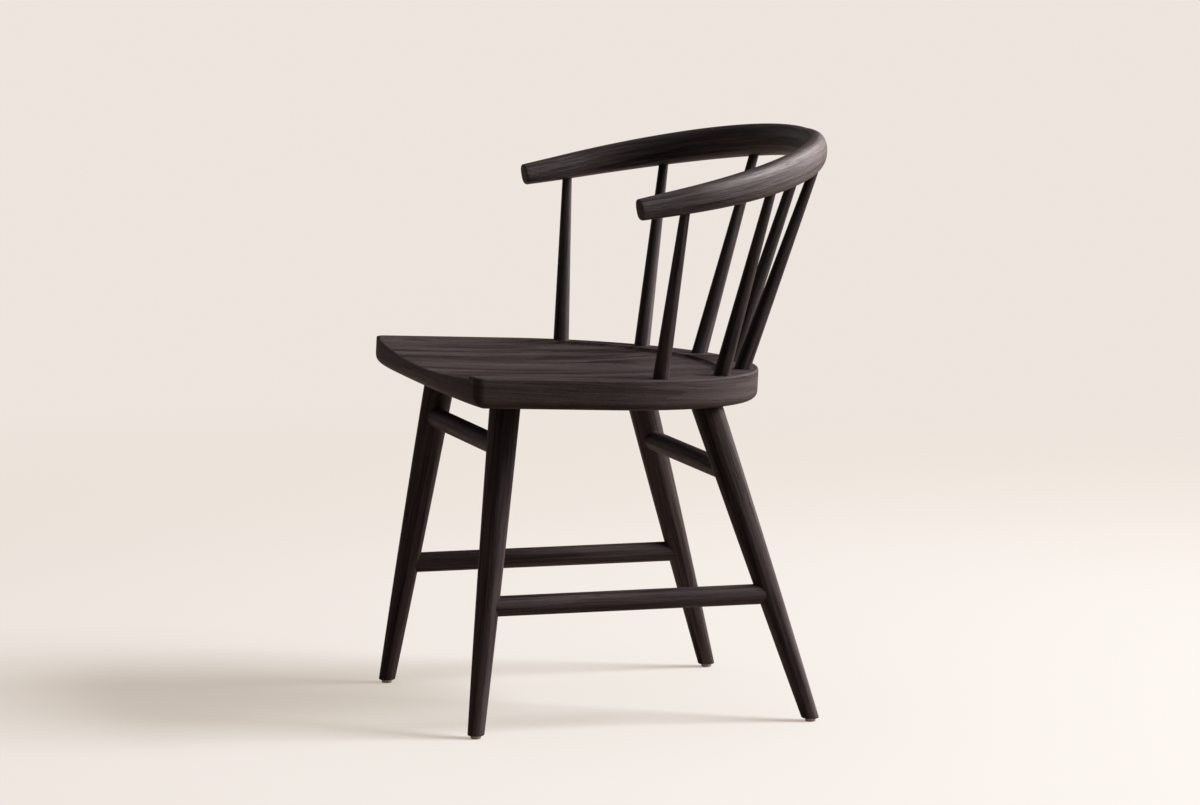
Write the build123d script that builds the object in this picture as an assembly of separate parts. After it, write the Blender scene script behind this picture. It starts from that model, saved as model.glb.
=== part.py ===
from build123d import *
import math
import os

# A low-backed spindle armchair in stained wood, with every piece separate and glued into its socket.
# Millimetres. The chair faces -Y, +X is the sitter's left and Z is up. Places are laid out from the
# line across the seat where its straight sides turn into its round back. The finished chair then
# stands on the floor with the middle of its outline on the origin.

# Seat
seat_width = 489.0
seat_side_length = 186.0
seat_back_depth = 254.0
seat_front_bulge = 5.0
seat_corner_radius = 14.0
seat_thickness = 39.0
seat_height = 448.5
seat_slope = 2.86
seat_top_round = 4.0
seat_bottom_round = 10.0

# Hollow in the seat, open at the front, with a flat rim left round the other sides
rim_side_width = 23.0
rim_back_width = 57.0
hollow_depth = 14.5
hollow_side_depth = 3.0
hollow_back_depth = 3.0
hollow_deepest_y = -76.0
hollow_cove_radius = 14.0

# Legs, set out on the seat's underside and on the floor
leg_top_x = 152.5
front_leg_top_y = -118.0
rear_leg_top_y = 146.0
leg_foot_x = 218.5
front_leg_foot_y = -176.5
rear_leg_foot_y = 266.5
leg_top_diameter = 39.5
leg_middle_diameter = 32.0
leg_foot_diameter = 21.2
leg_foot_round = 1.2
leg_tenon_diameter = 22.0
leg_tenon_length = 20.0

# Stretchers, at the heights of their middles
side_stretcher_height = 162.0
front_stretcher_height = 358.0
rear_stretcher_height = 316.5
stretcher_diameter = 26.0
stretcher_tenon_diameter = 14.0
stretcher_tenon_past_middle = 4.0

# Glides nailed under the feet
glide_diameter = 13.5
glide_height = 4.0
glide_round = 1.4
glide_nail_diameter = 2.8
glide_nail_length = 15.0

# Arm bow, whose heights are to the middle of its section
bow_width = 518.5
bow_end_y = 24.5
bow_arc_y = 89.5
bow_back_y = 327.5
bow_end_height = 662.0
bow_back_height = 718.5
bow_late_rise = 0.2
bow_end_depth = 26.8
bow_quarter_depth = 41.8
bow_back_depth = 37.6
bow_end_thickness = 27.8
bow_back_thickness = 29.5
bow_corner_radius = 11.0
bow_end_round = 2.2
bow_stations = 21

# Spindles. Each pair has its angle round the seat's back, its inset from the seat's edge
# and its share of the way from the arm's end to the middle of the back. The centre one
# goes into the bow a little in front of the middle of its section.
spindle_places = {
    "front": {"seat_angle": 15.6, "seat_inset": 14.5, "bow_share": 0.125},
    "middle": {"seat_angle": 42.0, "seat_inset": 14.5, "bow_share": 0.407},
    "rear": {"seat_angle": 66.2, "seat_inset": 20.0, "bow_share": 0.717},
}
spindle_centre_inset = 23.5
spindle_centre_forward = 4.5
spindle_foot_diameter = 20.6
spindle_top_diameter = 12.2
spindle_foot_tenon_diameter = 16.0
spindle_foot_tenon_length = 20.0
spindle_top_tenon_length = 16.0
spindle_top_tenon_lead = 6.0

# Fits: room for glue round a tenon and beyond its end
glue_gap = 0.1
socket_end_gap = 1.0

slope = math.radians(seat_slope)
seat_half_width = seat_width / 2
seat_plane = Plane(
    origin=(0, 0, seat_height), x_dir=(1, 0, 0), z_dir=(0, math.sin(slope), math.cos(slope))
)
seat_underside = seat_plane.offset(-seat_thickness)
sides = {"left": 1, "right": -1}


def height_on_seat(y):
    """Height of the seat's flat top at a place y."""
    return seat_height - y * math.tan(slope)


def height_under_seat(y):
    """Height of the seat's underside at a place y."""
    return height_on_seat(y) - seat_thickness / math.cos(slope)


def rod(start, end, diameter):
    """A round rod between two points."""
    run = end - start
    plane = Plane(origin=start, z_dir=run)
    return plane * Cylinder(diameter / 2, run.length, align=(Align.CENTER, Align.CENTER, Align.MIN))


def tenon_socket(mouth, end, diameter):
    """The hole for a tenon that ends at end, with room for glue, drilled from mouth."""
    direction = (end - mouth).normalized()
    return rod(mouth, end + direction * socket_end_gap, diameter + 2 * glue_gap)


def d_outline(half_width, back_depth, side_length, front_bulge):
    """A flat outline with a round back, straight sides and a slightly bulging front."""
    front_y = -side_length
    back = EllipticalCenterArc((0, 0), half_width, back_depth, 0, arc_size=180)
    right_side = Line((-half_width, 0), (-half_width, front_y))
    front = ThreePointArc((-half_width, front_y), (0, front_y - front_bulge), (half_width, front_y))
    left_side = Line((half_width, front_y), (half_width, 0))
    return make_face([back, right_side, front, left_side])


def radius_of_sag(half_chord, sag):
    """Radius of the arc that sags by sag over a half chord."""
    return half_chord**2 / (2 * sag) + sag / 2


def seat_hollow():
    """The wood taken out of the seat's top, in the seat's own plane."""
    half_width = seat_half_width - rim_side_width
    back_reach = seat_back_depth - rim_back_width
    headroom = 2 * seat_thickness
    front_reach = seat_side_length + seat_front_bulge + headroom
    well = extrude(
        d_outline(half_width, back_reach, front_reach, seat_front_bulge), headroom, both=True
    )
    cross_radius = radius_of_sag(half_width, hollow_depth - hollow_side_depth)
    long_radius = radius_of_sag(back_reach - hollow_deepest_y, hollow_depth - hollow_back_depth)
    chord = seat_width
    chord_height = cross_radius - math.sqrt(cross_radius**2 - chord**2) - hollow_depth
    floor_arc = ThreePointArc((-chord, chord_height), (0, -hollow_depth), (chord, chord_height))
    outer_edge = Polyline(
        (chord, chord_height),
        (chord, chord_height + headroom),
        (-chord, chord_height + headroom),
        (-chord, chord_height),
    )
    profile = Plane.XZ * make_face([floor_arc, outer_edge])
    turning_axis = Axis((0, 0, long_radius - hollow_depth), (1, 0, 0))
    swing = math.degrees((front_reach + back_reach) / long_radius)
    barrel = revolve(profile.rotate(turning_axis, -swing), turning_axis, 2 * swing)
    cutter = well & (Pos(0, hollow_deepest_y, 0) * barrel)
    floor = cutter.faces().sort_by(Axis.Z)[0]
    wall_feet = [edge for edge in floor.edges() if edge.center().Y > -front_reach]
    return fillet(wall_feet, hollow_cove_radius)


def seat():
    """The solid seat: a slab with rounded edges, hollowed, and bored for the legs and spindles."""
    outline = d_outline(seat_half_width, seat_back_depth, seat_side_length, seat_front_bulge)
    front_corners = outline.vertices().sort_by(Axis.Y)[:2]
    outline = fillet(front_corners, seat_corner_radius)
    slab = extrude(outline, -seat_thickness)
    slab = fillet(slab.faces().sort_by(Axis.Z)[0].edges(), seat_bottom_round)
    slab = fillet(slab.faces().sort_by(Axis.Z)[-1].edges(), seat_top_round)
    slab = slab - seat_hollow()
    front_edges = slab.edges().filter_by(lambda edge: edge.center().Y < -seat_side_length)
    lip = front_edges.filter_by(GeomType.BSPLINE).sort_by(SortBy.LENGTH)[-1]
    slab = seat_plane * fillet(lip, seat_top_round)
    for place in leg_places:
        foot, top = leg_line(place)
        direction = (top - foot).normalized()
        tenon_end = top + direction * leg_tenon_length
        slab -= tenon_socket(top - direction * leg_top_diameter, tenon_end, leg_tenon_diameter)
    for place in spindle_lines:
        base, top = spindle_lines[place]
        direction = (top - base).normalized()
        tenon_end = base - direction * spindle_foot_tenon_length
        mouth = base + direction * spindle_foot_diameter
        slab -= tenon_socket(mouth, tenon_end, spindle_foot_tenon_diameter)
    return slab


def leg_line(place):
    """The middle line of a leg, from the floor to the seat's underside."""
    end, side = place
    top_y = {"front": front_leg_top_y, "rear": rear_leg_top_y}[end]
    foot_y = {"front": front_leg_foot_y, "rear": rear_leg_foot_y}[end]
    foot = Vector(sides[side] * leg_foot_x, foot_y, 0)
    top = Vector(sides[side] * leg_top_x, top_y, height_under_seat(top_y))
    return foot, top


def leg_shaft(place, growth=0):
    """The turned shaft of a leg, a long taper below a slighter one, running past both its ends."""
    foot, top = leg_line(place)
    direction = (top - foot).normalized()
    half_length = (top - foot).length / 2
    foot_radius = leg_foot_diameter / 2 + growth
    middle_radius = leg_middle_diameter / 2 + growth
    top_radius = leg_top_diameter / 2 + growth
    foot_excess = leg_foot_diameter
    top_excess = leg_top_diameter
    lower_taper = (middle_radius - foot_radius) / half_length
    upper_taper = (top_radius - middle_radius) / half_length
    profile = Plane.XZ * make_face(
        Polyline(
            (0, -foot_excess),
            (foot_radius - lower_taper * foot_excess, -foot_excess),
            (middle_radius, half_length),
            (top_radius + upper_taper * top_excess, 2 * half_length + top_excess),
            (0, 2 * half_length + top_excess),
            close=True,
        )
    )
    outward = Vector(foot.X - top.X, foot.Y - top.Y)
    seam_side = outward - direction * outward.dot(direction)
    return Plane(origin=foot, x_dir=seam_side, z_dir=direction) * revolve(profile, Axis.Z)


def point_at_height(place, height):
    """The point of a leg's middle line at a height."""
    foot, top = leg_line(place)
    return foot + (top - foot) * (height / top.Z)


def leg(place):
    """A leg with its shoulder cut to the seat, its tenon, its sockets and its flat foot."""
    foot, top = leg_line(place)
    direction = (top - foot).normalized()
    foot_plane = Plane.XY.offset(glide_height)
    body = split(leg_shaft(place), seat_underside, keep=Keep.BOTTOM)
    body = split(body, foot_plane, keep=Keep.TOP)
    body = fillet(body.faces().sort_by(Axis.Z)[0].edges(), leg_foot_round)
    root = top - direction * leg_top_diameter
    body += rod(root, top + direction * leg_tenon_length, leg_tenon_diameter)
    for name in stretcher_ends:
        start, end = stretcher_line(name)
        run = (end - start).normalized()
        for own, tip, inward in ((start, 0, run), (end, 1, -run)):
            if stretcher_ends[name][tip] == place:
                tenon_end = own - inward * stretcher_tenon_past_middle
                mouth = own + inward * leg_top_diameter
                body -= tenon_socket(mouth, tenon_end, stretcher_tenon_diameter)
    nail_start = glide_middle(place)
    nail_end = nail_start + Vector(0, 0, glide_nail_length)
    return body - tenon_socket(nail_start, nail_end, glide_nail_diameter)


def stretcher_line(name):
    """The middle line of a stretcher, between the middle lines of its two legs."""
    height = stretcher_heights[name]
    start, end = stretcher_ends[name]
    return point_at_height(start, height), point_at_height(end, height)


def stretcher(name):
    """A round stretcher, coped to its two legs, with a tenon at each end."""
    start, end = stretcher_line(name)
    run = (end - start).normalized()
    body = rod(start, end, stretcher_diameter)
    for place in stretcher_ends[name]:
        body -= leg_shaft(place, glue_gap)
    past = run * stretcher_tenon_past_middle
    return body + rod(start - past, end + past, stretcher_tenon_diameter)


def glide_middle(place):
    """The middle of a foot's flat end, where its glide is nailed on."""
    return point_at_height(place, glide_height)


def glide(place):
    """A round glide with a softened lower edge and the nail that holds it."""
    align = (Align.CENTER, Align.CENTER, Align.MIN)
    pad = Cylinder(glide_diameter / 2, glide_height, align=align)
    pad = fillet(pad.edges().sort_by(Axis.Z)[0], glide_round)
    nail_length = glide_height + glide_nail_length
    pad += Cylinder(glide_nail_diameter / 2, nail_length, align=align)
    middle = glide_middle(place)
    return Pos(middle.X, middle.Y, 0) * pad


def bow_plan():
    """The arm bow's middle line seen from above, from the left arm's end to the right one's."""
    half_width = bow_width / 2
    left_arm = Line((half_width, bow_end_y), (half_width, bow_arc_y))
    back = EllipticalCenterArc((0, bow_arc_y), half_width, bow_back_y - bow_arc_y, 0, arc_size=180)
    right_arm = Line((-half_width, bow_arc_y), (-half_width, bow_end_y))
    return Wire([left_arm, back, right_arm])


def bow_middle(plan, station):
    """A point of the arm bow's middle line, at a share of its whole length."""
    spot = plan.position_at(station)
    way_back = (spot.Y - bow_end_y) / (bow_back_y - bow_end_y)
    rise = (1 - bow_late_rise) * way_back + bow_late_rise * way_back**2
    return Vector(spot.X, spot.Y, bow_end_height + (bow_back_height - bow_end_height) * rise)


def bow_frame(plan, station):
    """A plane across the arm bow, with its X axis level and its Y axis along the section's depth."""
    step = 0.5 / bow_stations
    ahead = bow_middle(plan, min(station + step, 1))
    behind = bow_middle(plan, max(station - step, 0))
    run = ahead - behind
    level = run.cross(Vector(0, 0, 1))
    return Plane(origin=bow_middle(plan, station), x_dir=level, z_dir=run)


def bow_size(station):
    """Thickness and depth of the arm bow's section at a station."""
    share = 1 - abs(2 * station - 1)
    thickness = bow_end_thickness + (bow_back_thickness - bow_end_thickness) * share
    end_part = bow_end_depth * (2 * share - 1) * (share - 1)
    quarter_part = bow_quarter_depth * 4 * share * (1 - share)
    back_part = bow_back_depth * share * (2 * share - 1)
    return thickness, end_part + quarter_part + back_part


def bow_underside(plan, station):
    """The middle of the arm bow's underside, where a spindle goes in."""
    frame = bow_frame(plan, station)
    depth = bow_size(station)[1]
    down = frame.y_dir if frame.y_dir.Z < 0 else -frame.y_dir
    return frame.origin + down * (depth / 2)


def arm_bow():
    """The bent arm bow, thicker at the back than at the arms, bored from below for the spindles."""
    plan = bow_plan()
    sections = []
    for number in range(bow_stations):
        station = number / (bow_stations - 1)
        thickness, depth = bow_size(station)
        sections.append(bow_frame(plan, station) * RectangleRounded(thickness, depth, bow_corner_radius))
    bow = loft(sections)
    ends = bow.faces().filter_by(GeomType.PLANE)
    bow = fillet(ends.edges(), bow_end_round)
    for place in spindle_lines:
        base, top = spindle_lines[place]
        direction = (top - base).normalized()
        tenon_end = top + direction * spindle_top_tenon_length
        bow -= tenon_socket(top - direction * bow_back_depth, tenon_end, spindle_top_diameter)
    return bow


def seat_edge(angle, inset):
    """A point on the seat's flat top, inset from its edge at an angle round its back."""
    turn = math.radians(angle)
    edge = Vector(seat_half_width * math.cos(turn), seat_back_depth * math.sin(turn))
    outward = Vector(math.cos(turn) / seat_half_width, math.sin(turn) / seat_back_depth).normalized()
    spot = edge - outward * inset
    return Vector(spot.X, spot.Y, height_on_seat(spot.Y))


def lay_out_spindles():
    """The middle line of every spindle, from the seat's top to the arm bow's underside."""
    plan = bow_plan()
    lines = {}
    for row, place in spindle_places.items():
        base = seat_edge(place["seat_angle"], place["seat_inset"])
        top = bow_underside(plan, place["bow_share"] / 2)
        for side, sign in sides.items():
            lines[f"{row}_{side}"] = (
                Vector(sign * base.X, base.Y, base.Z),
                Vector(sign * top.X, top.Y, top.Z),
            )
    centre_top = bow_underside(plan, 0.5) - Vector(0, spindle_centre_forward, 0)
    lines["centre"] = (seat_edge(90, spindle_centre_inset), centre_top)
    return lines


def spindle(place):
    """A tapered spindle with a shouldered tenon in the seat and a plain one in the bow."""
    base, top = spindle_lines[place]
    direction = (top - base).normalized()
    taper_length = (top - base).length - spindle_top_tenon_lead
    start = base - direction * spindle_foot_diameter
    foot_radius = spindle_foot_diameter / 2
    top_radius = spindle_top_diameter / 2
    profile = Plane.XZ * make_face(
        Polyline(
            (0, 0),
            (foot_radius, 0),
            (foot_radius, spindle_foot_diameter),
            (top_radius, spindle_foot_diameter + taper_length),
            (0, spindle_foot_diameter + taper_length),
            close=True,
        )
    )
    body = Plane(origin=start, z_dir=direction) * revolve(profile, Axis.Z)
    body = split(body, seat_plane, keep=Keep.TOP)
    root = base + direction * spindle_foot_diameter
    body += rod(root, base - direction * spindle_foot_tenon_length, spindle_foot_tenon_diameter)
    neck = top - direction * spindle_top_tenon_lead
    return body + rod(neck, top + direction * spindle_top_tenon_length, spindle_top_diameter)


leg_places = [(end, side) for end in ("front", "rear") for side in sides]
stretcher_ends = {
    "left": (("front", "left"), ("rear", "left")),
    "right": (("front", "right"), ("rear", "right")),
    "front": (("front", "right"), ("front", "left")),
    "rear": (("rear", "right"), ("rear", "left")),
}
stretcher_heights = {
    "left": side_stretcher_height,
    "right": side_stretcher_height,
    "front": front_stretcher_height,
    "rear": rear_stretcher_height,
}
spindle_lines = lay_out_spindles()

pieces = {"seat": seat(), "arm_bow": arm_bow()}
for place in leg_places:
    pieces["leg_" + "_".join(place)] = leg(place)
    pieces["glide_" + "_".join(place)] = glide(place)
for name in stretcher_ends:
    pieces["stretcher_" + name] = stretcher(name)
for place in spindle_lines:
    pieces["spindle_" + place] = spindle(place)

boxes = [piece.bounding_box() for piece in pieces.values()]
front_y = min(box.min.Y for box in boxes)
back_y = max(box.max.Y for box in boxes)
middle_y = (front_y + back_y) / 2
os.makedirs("parts", exist_ok=True)
for node, piece in pieces.items():
    export_step(Pos(0, -middle_y, 0) * piece, f"parts/{node}.step")
print("front edge", front_y, "back edge", back_y, "middle", middle_y)
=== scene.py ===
import math
import bmesh
import bpy
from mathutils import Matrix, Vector


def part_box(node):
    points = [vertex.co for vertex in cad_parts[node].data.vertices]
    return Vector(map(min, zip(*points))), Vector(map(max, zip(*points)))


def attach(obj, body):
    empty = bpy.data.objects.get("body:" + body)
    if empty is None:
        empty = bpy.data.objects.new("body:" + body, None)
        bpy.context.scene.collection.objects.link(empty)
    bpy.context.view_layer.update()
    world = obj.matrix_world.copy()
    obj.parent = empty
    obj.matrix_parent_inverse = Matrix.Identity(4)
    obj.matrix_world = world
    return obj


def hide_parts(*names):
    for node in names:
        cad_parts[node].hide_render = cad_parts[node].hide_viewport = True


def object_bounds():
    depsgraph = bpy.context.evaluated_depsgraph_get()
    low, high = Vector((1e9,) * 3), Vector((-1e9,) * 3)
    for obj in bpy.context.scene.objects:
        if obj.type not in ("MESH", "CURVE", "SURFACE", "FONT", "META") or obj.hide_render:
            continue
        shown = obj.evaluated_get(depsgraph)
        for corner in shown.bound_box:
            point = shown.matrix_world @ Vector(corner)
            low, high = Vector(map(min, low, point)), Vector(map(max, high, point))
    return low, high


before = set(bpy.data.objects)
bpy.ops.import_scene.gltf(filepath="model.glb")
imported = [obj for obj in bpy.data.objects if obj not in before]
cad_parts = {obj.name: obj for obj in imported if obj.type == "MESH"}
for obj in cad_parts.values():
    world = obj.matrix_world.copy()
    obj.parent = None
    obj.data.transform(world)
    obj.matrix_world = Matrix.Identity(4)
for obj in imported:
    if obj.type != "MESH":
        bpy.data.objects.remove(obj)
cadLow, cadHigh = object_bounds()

# Dark stained spindle chair. Metres. It faces -Y, +X is the sitter's left, Z is up.
scene = bpy.context.scene
bodyName = "root"
woodSlot = "stained_wood"
glideSlot = "glide_pad"
sides = {"left": 1, "right": -1}
skyward = Vector((0, 0, 1))
mergeGap = 1e-6  # points closer than this are one point


# node helpers, for shaders and for geometry

def addNode(tree, kind, **settings):
    node = tree.nodes.new(kind)
    for key, value in settings.items():
        setattr(node, key, value)
    return node


def feed(tree, socket, value):
    if isinstance(value, bpy.types.NodeSocket):
        tree.links.new(value, socket)
    else:
        socket.default_value = value


def calc(tree, operation, *values, clamp=False):
    node = addNode(tree, "ShaderNodeMath", operation=operation, use_clamp=clamp)
    for socket, value in zip(node.inputs, values):
        feed(tree, socket, value)
    return node.outputs[0]


def vectorCalc(tree, operation, *values):
    node = addNode(tree, "ShaderNodeVectorMath", operation=operation)
    for socket, value in zip(node.inputs, values):
        feed(tree, socket, value)
    single = operation in ("DOT_PRODUCT", "LENGTH")
    return node.outputs["Value" if single else "Vector"]


def scaled(tree, vector, factor):
    node = addNode(tree, "ShaderNodeVectorMath", operation="SCALE")
    feed(tree, node.inputs[0], vector)
    feed(tree, node.inputs["Scale"], factor)
    return node.outputs["Vector"]


def joined(tree, x, y, z):
    node = addNode(tree, "ShaderNodeCombineXYZ")
    for socket, value in zip(node.inputs, (x, y, z)):
        feed(tree, socket, value)
    return node.outputs[0]


def parted(tree, vector):
    node = addNode(tree, "ShaderNodeSeparateXYZ")
    feed(tree, node.inputs[0], vector)
    return node.outputs


def newTree(name, inputs):
    tree = bpy.data.node_groups.new(name, "GeometryNodeTree")
    tree.interface.new_socket("Geometry", in_out="OUTPUT", socket_type="NodeSocketGeometry")
    for label, kind in inputs.items():
        tree.interface.new_socket(label, in_out="INPUT", socket_type="NodeSocket" + kind)
    given = addNode(tree, "NodeGroupInput").outputs
    return tree, given


def endTree(tree, geometry, material):
    # smooth faces, no instances left, one material
    smooth = addNode(tree, "GeometryNodeSetShadeSmooth")
    real = addNode(tree, "GeometryNodeRealizeInstances")
    painted = addNode(tree, "GeometryNodeSetMaterial")
    out = addNode(tree, "NodeGroupOutput")
    feed(tree, smooth.inputs["Geometry"], geometry)
    feed(tree, real.inputs["Geometry"], smooth.outputs["Geometry"])
    feed(tree, painted.inputs["Geometry"], real.outputs["Geometry"])
    feed(tree, painted.inputs["Material"], material)
    feed(tree, out.inputs[0], painted.outputs["Geometry"])


def runTree(name, tree, values):
    # the tree's result as a plain mesh object at the origin
    maker = bpy.data.objects.new(name + "Maker", bpy.data.meshes.new(name + "Maker"))
    scene.collection.objects.link(maker)
    modifier = maker.modifiers.new("shape", "NODES")
    modifier.node_group = tree
    for item in tree.interface.items_tree:
        if item.in_out == "INPUT" and item.name in values:
            modifier[item.identifier] = values[item.name]
    bpy.context.view_layer.update()
    evaluated = maker.evaluated_get(bpy.context.evaluated_depsgraph_get())
    mesh = bpy.data.meshes.new_from_object(evaluated)
    mesh.name = name
    maker.modifiers.remove(modifier)
    bpy.data.objects.remove(maker)
    piece = bpy.data.objects.new(name, mesh)
    scene.collection.objects.link(piece)
    return piece


def settle(piece, slot, *nodes):
    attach(piece, bodyName)
    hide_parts(*nodes)
    print("piece", piece.name, len(piece.data.polygons), "faces")


# camera, at the photograph's angle

cameraPlace = {
    "spot": (7.71655, -2.33995, 1.40136),
    "azimuth": 73.29,
    "pitch": -7.16,
    "lens": 189.39,
    "sensor": 36.0,
    "farClip": 100.0,
}


def makeCamera(place):
    azimuth = math.radians(place["azimuth"])
    pitch = math.radians(place["pitch"])
    forward = Vector((
        -math.sin(azimuth) * math.cos(pitch),
        math.cos(azimuth) * math.cos(pitch),
        math.sin(pitch),
    ))
    data = bpy.data.cameras.new("camera")
    data.lens = place["lens"]
    data.sensor_width = place["sensor"]
    data.clip_end = place["farClip"]
    camera = bpy.data.objects.new("camera", data)
    camera.location = place["spot"]
    camera.rotation_euler = forward.to_track_quat("-Z", "Y").to_euler()
    scene.collection.objects.link(camera)
    scene.camera = camera


makeCamera(cameraPlace)
print("camera placed")


# dark stain over open-grained wood; the grain attribute holds metres across, across and along

def stretchedNoise(tree, spot, size, detail, roughness):
    node = addNode(tree, "ShaderNodeTexNoise", noise_dimensions="3D")
    sizes = [1 / length for length in size]
    feed(tree, node.inputs["Vector"], vectorCalc(tree, "MULTIPLY", spot, sizes))
    node.inputs["Scale"].default_value = 1
    node.inputs["Detail"].default_value = detail
    node.inputs["Roughness"].default_value = roughness
    return node.outputs[0]


def remap(tree, value, low, high, newLow=0.0, newHigh=1.0):
    node = addNode(tree, "ShaderNodeMapRange", interpolation_type="SMOOTHSTEP")
    for label, given in zip(("From Min", "From Max", "To Min", "To Max"), (low, high, newLow, newHigh)):
        node.inputs[label].default_value = given
    feed(tree, node.inputs["Value"], value)
    return node.outputs[0]


# a Mix node's sockets for each kind of value: the factor, the two that are mixed, and the result
colorMix = {"kind": "RGBA", "given": (0, 6, 7), "result": 2}
numberMix = {"kind": "FLOAT", "given": (0, 2, 3), "result": 0}


def mixed(tree, sockets, *values):
    node = addNode(tree, "ShaderNodeMix", data_type=sockets["kind"])
    for number, value in zip(sockets["given"], values):
        feed(tree, node.inputs[number], value)
    return node.outputs[sockets["result"]]


def mixColor(tree, factor, first, second):
    return mixed(tree, colorMix, factor, first, second)


def weighed(tree, values, shares):
    # the sum of the named values, each times its share
    total = None
    for name, share in shares.items():
        if total is None:
            total = calc(tree, "MULTIPLY", values[name], share)
        else:
            total = calc(tree, "MULTIPLY_ADD", values[name], share, total)
    return total


def surfaceValue(tree, name):
    # a number kept on the piece's points, 0 where the piece has none of that name
    return addNode(tree, "ShaderNodeAttribute", attribute_name=name).outputs["Fac"]


def addBump(tree, shader, height, strength, distance):
    bump = addNode(tree, "ShaderNodeBump")
    bump.inputs["Strength"].default_value = strength
    bump.inputs["Distance"].default_value = distance
    feed(tree, bump.inputs["Height"], height)
    feed(tree, shader.inputs["Normal"], bump.outputs["Normal"])


woodLook = {
    "darkest": (0.0054, 0.0038, 0.0037, 1),
    "middle": (0.0179, 0.0126, 0.0125, 1),
    "lightest": (0.0442, 0.0328, 0.0330, 1),
    "endDarkening": 0.75,
    "endDulling": 0.25,
    "poreDarkening": 0.55,
    "poreDulling": 0.12,
    "specular": (0.05, 0.22),
    "roughness": (0.48, 0.74),
    "refraction": 1.5,
    "pith": (0.055, -0.085),
    "ringStep": 0.0075,
    "ringWander": 0.016,
    "lateWoodPower": 2.2,
    "wanderSize": (0.05, 0.05, 0.35),
    "streakSize": (0.0040, 0.0040, 0.12),
    "bandSize": (0.016, 0.016, 0.42),
    "fibreSize": (0.0016, 0.0016, 0.06),
    "poreSize": (0.0007, 0.0007, 0.014),
    "boardWidth": 10.0,
    "toneShares": {"band": 0.50, "streak": 0.50, "fibre": 0.30, "lateWood": -0.10},
    "sheenShares": {"streak": 0.55, "fibre": 0.45},
    "reliefShares": {"streak": 0.9, "fibre": 0.5, "pore": -0.5},
    "poreEdges": (0.60, 0.72),
    "darkEdges": (0.30, 0.55),
    "lightEdges": (0.44, 0.80),
    "sheenEdges": (0.30, 0.70),
    "shineTone": (0.42, 0.80),
    "edgeGloss": 0.08,
    "edgeCalm": 0.65,
    "evenTone": 0.61,
    "bump": 0.5,
    "reliefHeight": 0.0008,
}

# detail and roughness of the noise behind each part of the figure
figureNoise = {
    "wander": (2, 0.5),
    "streak": (3, 0.6),
    "band": (2, 0.5),
    "fibre": (2, 0.6),
    "pore": (1, 0.5),
}


def stainedWood(name, **changes):
    look = {**woodLook, **changes}
    material = bpy.data.materials.new(name)
    material.use_nodes = True
    tree = material.node_tree
    shader = tree.nodes["Principled BSDF"]
    grain = addNode(tree, "ShaderNodeAttribute", attribute_name="grain").outputs["Vector"]
    # boards glued side by side each start somewhere else in the tree
    board = calc(tree, "FLOOR", calc(tree, "DIVIDE", parted(tree, grain)[0], look["boardWidth"]))
    chance = addNode(tree, "ShaderNodeTexWhiteNoise", noise_dimensions="1D")
    feed(tree, chance.inputs["W"], board)
    spot = vectorCalc(tree, "ADD", grain, chance.outputs["Color"])
    figure = {}
    for part, (detail, roughness) in figureNoise.items():
        figure[part] = stretchedNoise(tree, spot, look[part + "Size"], detail, roughness)
    figure["pore"] = remap(tree, figure["pore"], *look["poreEdges"])
    # yearly rings round a far-off pith, wandering along the grain
    fromPith = vectorCalc(tree, "ADD", grain, (*look["pith"], 0))
    reach = vectorCalc(tree, "LENGTH", vectorCalc(tree, "MULTIPLY", fromPith, (1, 1, 0)))
    wandered = calc(tree, "MULTIPLY_ADD", figure["wander"], look["ringWander"], reach)
    shifted = calc(tree, "MULTIPLY_ADD", chance.outputs["Value"], look["ringStep"], wandered)
    ring = calc(tree, "FRACT", calc(tree, "DIVIDE", shifted, look["ringStep"]))
    figure["lateWood"] = calc(tree, "POWER", ring, look["lateWoodPower"])
    # a sanded edge shows less of the figure
    tone = weighed(tree, figure, look["toneShares"])
    calmness = calc(tree, "MULTIPLY", surfaceValue(tree, "sanded"), look["edgeCalm"])
    tone = calc(tree, "MULTIPLY_ADD", calmness, calc(tree, "SUBTRACT", look["evenTone"], tone), tone)
    # colour: stain takes unevenly along the grain, sits dark in the pores and darkens end grain most
    darkShare = remap(tree, tone, *look["darkEdges"])
    lightShare = remap(tree, tone, *look["lightEdges"])
    poreShare = calc(tree, "MULTIPLY", figure["pore"], look["poreDarkening"])
    cutEnd = surfaceValue(tree, "cutEnd")
    endShare = calc(tree, "MULTIPLY", cutEnd, look["endDarkening"])
    color = mixColor(tree, darkShare, look["darkest"], look["middle"])
    color = mixColor(tree, lightShare, color, look["lightest"])
    color = mixColor(tree, poreShare, color, look["darkest"])
    color = mixColor(tree, endShare, color, look["darkest"])
    feed(tree, shader.inputs["Base Color"], color)
    # satin lacquer, duller where the wood is open and a little glossier along worn edges
    dull = remap(tree, weighed(tree, figure, look["sheenShares"]), *look["sheenEdges"], *look["roughness"])
    dull = calc(tree, "MULTIPLY_ADD", cutEnd, look["endDulling"], dull)
    dull = calc(tree, "MULTIPLY_ADD", figure["pore"], look["poreDulling"], dull, clamp=True)
    feed(tree, shader.inputs["Roughness"], dull)
    shader.inputs["IOR"].default_value = look["refraction"]
    shine = remap(tree, tone, *look["shineTone"], *look["specular"])
    shine = calc(tree, "MULTIPLY_ADD", surfaceValue(tree, "worn"), look["edgeGloss"], shine)
    feed(tree, shader.inputs["Specular IOR Level"], shine)
    addBump(tree, shader, weighed(tree, figure, look["reliefShares"]), look["bump"], look["reliefHeight"])
    return material


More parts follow.
